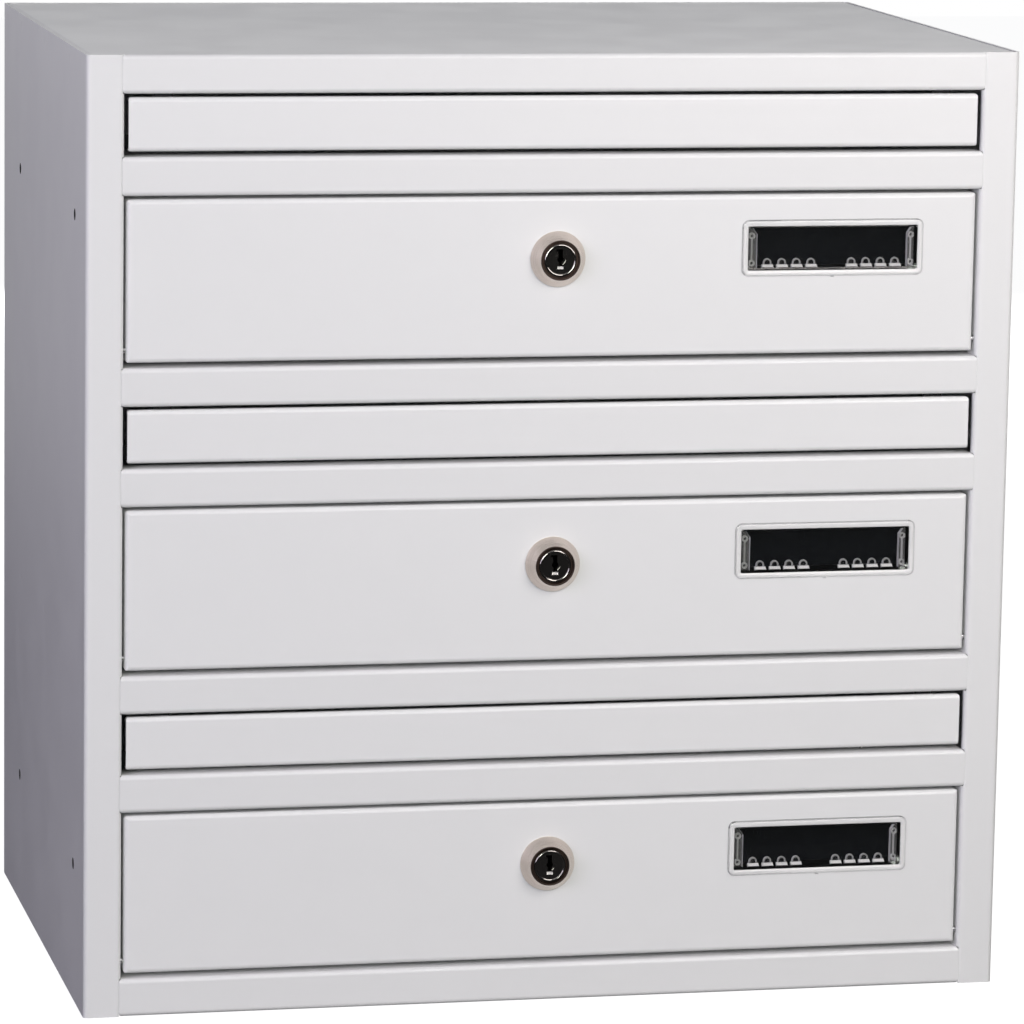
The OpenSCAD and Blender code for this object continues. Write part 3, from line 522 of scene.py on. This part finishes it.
# Near-black painted shade for the dark seen through the window.
card_shade_black, card_shade_grey = (0.0022, 0.0030, 0.0042, 1), (0.005, 0.006, 0.0075, 1)
fibre = noise(tree, coordinates(tree, "Object"), scale=3200)
dress(tree, shader, mixed(tree, ramped(tree, fibre, 0.4, 0.7), card_shade_black, card_shade_grey),
      ramped(tree, fibre, 0.3, 0.7, 0.42, 0.6), fibre, depth=0.00001)
finish(in_each_tier("window_backing"), card)


# Table. A pale top that runs on behind the unit as the background. It glows white to the camera and through
# the windows, while its own colour is grey, so that it throws little light back at the unit.

table_left, table_right, table_near, table_far = -2.2, 2.2, -0.4, 5.0
table_mesh = bpy.data.meshes.new("table")
table_mesh.from_pydata([(table_left, table_near, 0), (table_right, table_near, 0),
                        (table_right, table_far, 0), (table_left, table_far, 0)], [], [(0, 1, 2, 3)])
table = bpy.data.objects.new("table", table_mesh)
bpy.context.scene.collection.objects.link(table)
lit_table, mirrored_table = (0.25, 0.25, 0.25, 1), (0.05, 0.05, 0.05, 1)
table_glow, mirrored_glow = 0.96, 0.4

table_white, tree, shader = new_material("table_white", Roughness=0.9, Specular_IOR_Level=0.0,
                                         Emission_Color=(1, 1, 1, 1))
ray = add(tree, "ShaderNodeLightPath", {}).outputs
away = spread(tree, coordinates(tree, "Object"))["Y"]
seen = larger(tree, ray["Is Glossy Ray"], ray["Is Transmission Ray"])
mirrored = times(tree, ray["Is Glossy Ray"], ramped(tree, away, 0.6, 2.0, 0, mirrored_glow))
through = times(tree, ray["Is Transmission Ray"], ramped(tree, away, 0.1, 0.6))
shown = times(tree, larger(tree, ray["Is Camera Ray"], through), table_glow)
feed(tree, shader.inputs, {"Base Color": mixed(tree, seen, lit_table, mirrored_table),
                           "Emission Strength": larger(tree, shown, mirrored)})
table_mesh.materials.append(table_white)


# Room. Plain white to the camera, white behind and above the unit for what its metal and windows mirror, and
# a faint bluish light from all sides on what the lamps don't reach.

world = bpy.data.worlds.new("studio")
bpy.context.scene.world = world
world.use_nodes = True
tree = world.node_tree
tree.nodes.clear()
room_white, room_blue = (1, 1, 1, 1), (0.57, 0.71, 1.0, 1)
dark_side, ceiling_white, faint = 0.03, 0.8, 0.056
ray = add(tree, "ShaderNodeLightPath", {}).outputs
toward = spread(tree, coordinates(tree, "Generated"))
behind = ramped(tree, toward["Y"], -0.25, 0.35, dark_side, 1.0)
above = ramped(tree, toward["Z"], 0.35, 0.85, dark_side, ceiling_white)
seen = larger(tree, ray["Is Glossy Ray"], ray["Is Transmission Ray"])
unseen = minus(tree, 1.0, larger(tree, ray["Is Camera Ray"], seen))
bright = larger(tree, ray["Is Camera Ray"], times(tree, seen, larger(tree, behind, above)))
sky = add(tree, "ShaderNodeBackground", {
    "Color": mixed(tree, unseen, room_white, room_blue),
    "Strength": larger(tree, bright, times(tree, unseen, faint)),
})
add(tree, "ShaderNodeOutputWorld", {"Surface": sky.outputs[0]})


# Lamps. Large soft ones: the main one above the camera, a wide reflector at the left, a near one at the right
# and a low one for the back, which the metal doesn't mirror.

unit_middle = (0, 0, 0.22)


def soft_light(name, place, width, height, power, colour=(1, 1, 1)):
    """A rectangular lamp that looks at the middle of the unit."""
    lamp = bpy.data.lights.new(name, "AREA")
    lamp.shape = "RECTANGLE"
    lamp.size = width
    lamp.size_y = height
    lamp.energy = power
    lamp.color = colour
    made = bpy.data.objects.new(name, lamp)
    made.location = place
    made.rotation_euler = (Vector(unit_middle) - Vector(place)).to_track_quat("-Z", "Y").to_euler()
    bpy.context.scene.collection.objects.link(made)
    return made


soft_light("front", (-0.549, -2.583, 0.781), 0.8, 0.8, power=18.7, colour=(0.945, 1.0, 0.925))
soft_light("left", (-1.406, -1.180, 0.712), 1.0, 1.0, power=12.7, colour=(0.91, 0.84, 1.0))
soft_light("near", (0.421, -0.904, 0.685), 0.6, 0.6, power=6.1, colour=(1.0, 0.95, 0.92))
back = soft_light("back", (0.3, 2.2, 0.28), 0.8, 0.4, power=20)
back.visible_glossy = False


# Camera. A long lens in front of the unit, to its left and a little above its top, as in the photograph. Its
# place and turns are fitted to the unit's eight corners.

camera_place = (-0.5156, -2.3743, 0.6066)
camera_turns = (80.27, -0.924, -12.362)
camera_data = bpy.data.cameras.new("camera")
camera_data.sensor_width = 36.0
camera_data.lens = 193.6
camera = bpy.data.objects.new("camera", camera_data)
camera.location = camera_place
camera.rotation_euler = [math.radians(turn) for turn in camera_turns]
bpy.context.scene.collection.objects.link(camera)
bpy.context.scene.camera = camera
bpy.context.scene.view_settings.view_transform = "Standard"
